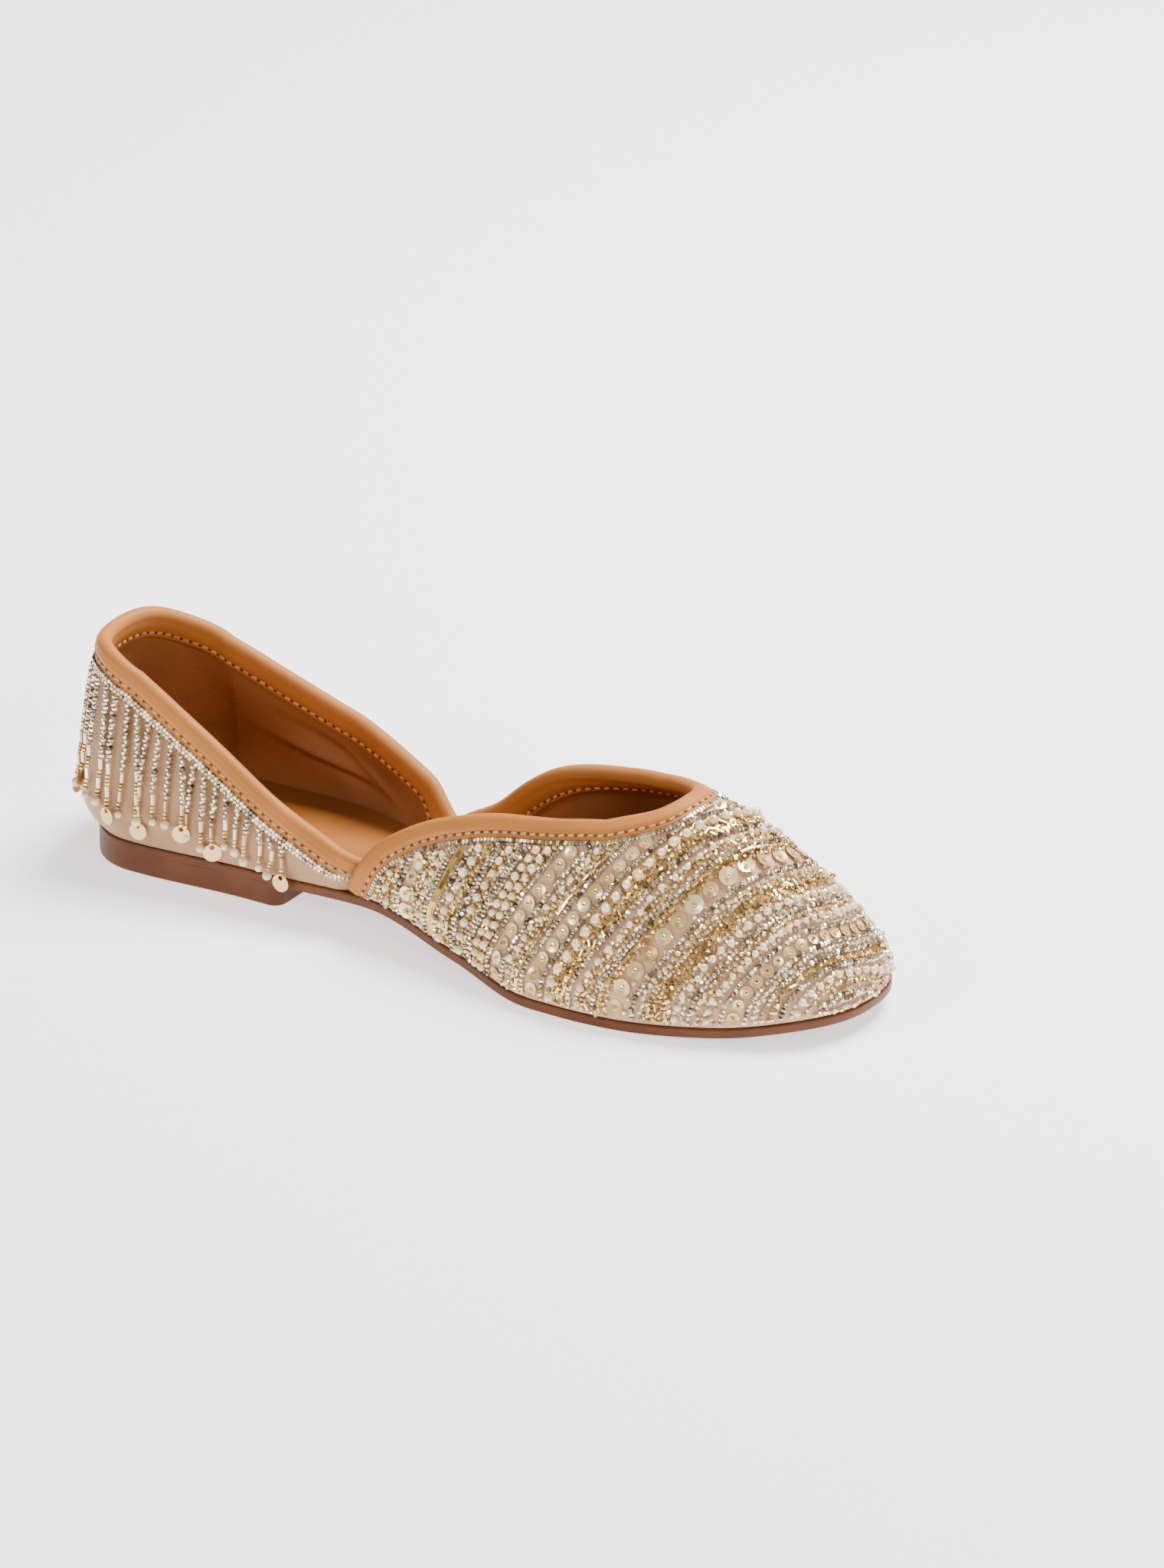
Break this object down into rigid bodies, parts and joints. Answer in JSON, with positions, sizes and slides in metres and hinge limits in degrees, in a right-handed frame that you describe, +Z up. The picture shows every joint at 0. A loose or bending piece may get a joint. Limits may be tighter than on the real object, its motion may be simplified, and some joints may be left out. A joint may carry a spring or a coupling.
{
  "type": "mojari slip-on flat shoe",
  "caption": "Right slip-on flat with a closed beaded front, open sides, satin heel counter with a hanging bead fringe, rolled leather edges and a low heel block.",
  "frame": {"origin": "on the floor, middle of the heel block's flat underside, on the sole's centre line", "axes": "+X towards the toe, +Y towards the inner side of the foot, +Z up"},
  "size_m": [0.2523, 0.0838, 0.0649],
  "materials": {
    "sole": "moulded brown sole with a satin sheen",
    "leather": "smooth tan leather",
    "satin": "blush satin weave",
    "beaded_cloth": "satin covered with rows of gold and ivory beadwork",
    "beads": "silver-lined glass beads, ivory pearls and pale gold discs"
  },
  "bodies": {
    "root": {"outsole": "sole", "heel_block": "sole", "insole": "leather", "upper_vamp": "beaded_cloth", "upper_quarter": "satin", "vamp_binding": "leather", "quarter_binding": "leather", "bead_fringe": "beads"}
  },
  "joints": []
}
